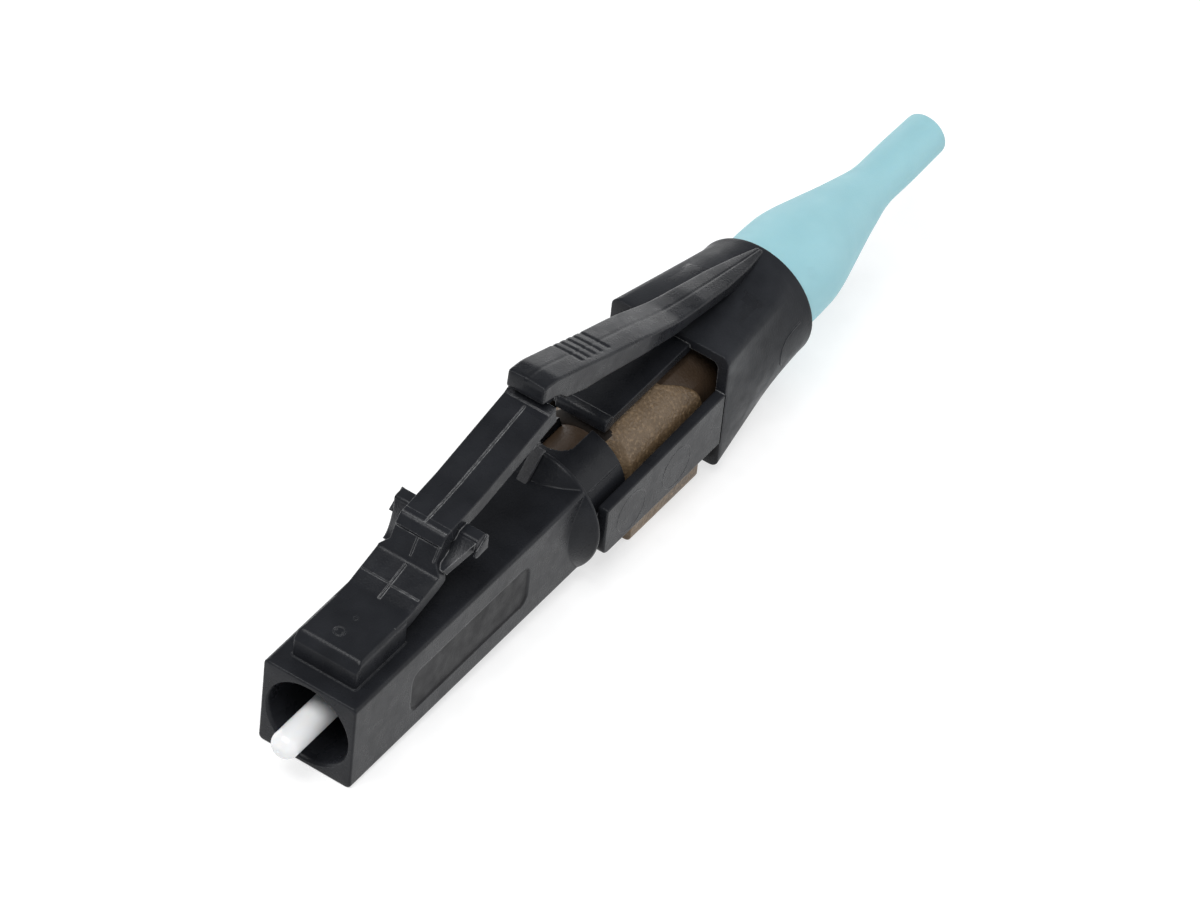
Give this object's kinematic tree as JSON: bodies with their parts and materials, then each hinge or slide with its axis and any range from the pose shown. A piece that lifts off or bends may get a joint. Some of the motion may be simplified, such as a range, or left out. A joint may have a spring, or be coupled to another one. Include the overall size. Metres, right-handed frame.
{
  "type": "lc fibre connector",
  "caption": "Small square-nosed plug for one optical fibre, with a white ceramic ferrule, a sprung latch, a clip-on trigger lever, a tan splice cam and an aqua rubber boot.",
  "frame": {"origin": "on the ferrule's axis, in the plane of the nose's front face", "axes": "-Y is the direction in which it plugs in, +Y points to the boot, +Z is the latch side, +X is to the right seen from the front"},
  "size_m": [0.0062, 0.0462, 0.0118],
  "materials": {
    "housing": "satin moulded",
    "trigger": "satin moulded",
    "cam": "fine matt, slightly translucent",
    "ferrule": "polished",
    "fibre": "clear",
    "holder": "plain moulded",
    "splice": "plain moulded",
    "steel": "drawn",
    "boot": "matt"
  },
  "bodies": {
    "connector": {"front_housing": "housing", "spring": "steel", "spring_retainer": "holder", "cam": "cam", "trigger_body": "trigger", "boot": "boot"},
    "ferrule_set": {"ferrule": "ferrule", "fibre_stub": "fibre", "ferrule_holder": "holder", "splice_upper": "splice", "splice_lower": "splice", "lead_in_tube": "holder", "crimp_tube": "steel"},
    "latch": {"latch_arm": "housing"},
    "lever": {"trigger_lever": "trigger"}
  },
  "joints": [
    {"name": "lever_press", "type": "hinge", "parent": "connector", "child": "lever", "pos_m": [0, 0.0289, 0.0032], "axis": [1, 0, 0], "range_deg": [0, 6.5], "stiffness_Nm_per_rad": 0.01},
    {"name": "latch_flex", "type": "hinge", "parent": "connector", "child": "latch", "pos_m": [0, 0.0044, 0.00322], "axis": [-1, 0, 0], "range_deg": [0, 11.5], "stiffness_Nm_per_rad": 0.01},
    {"name": "ferrule_push", "type": "slide", "parent": "connector", "child": "ferrule_set", "axis": [0, 1, 0], "range_m": [0, 0.0008], "stiffness_N_per_m": 200, "deforming": ["spring"]}
  ],
  "couplings": [
    {"joint": "latch_flex", "follows": "lever_press", "ratio": 1.7}
  ]
}
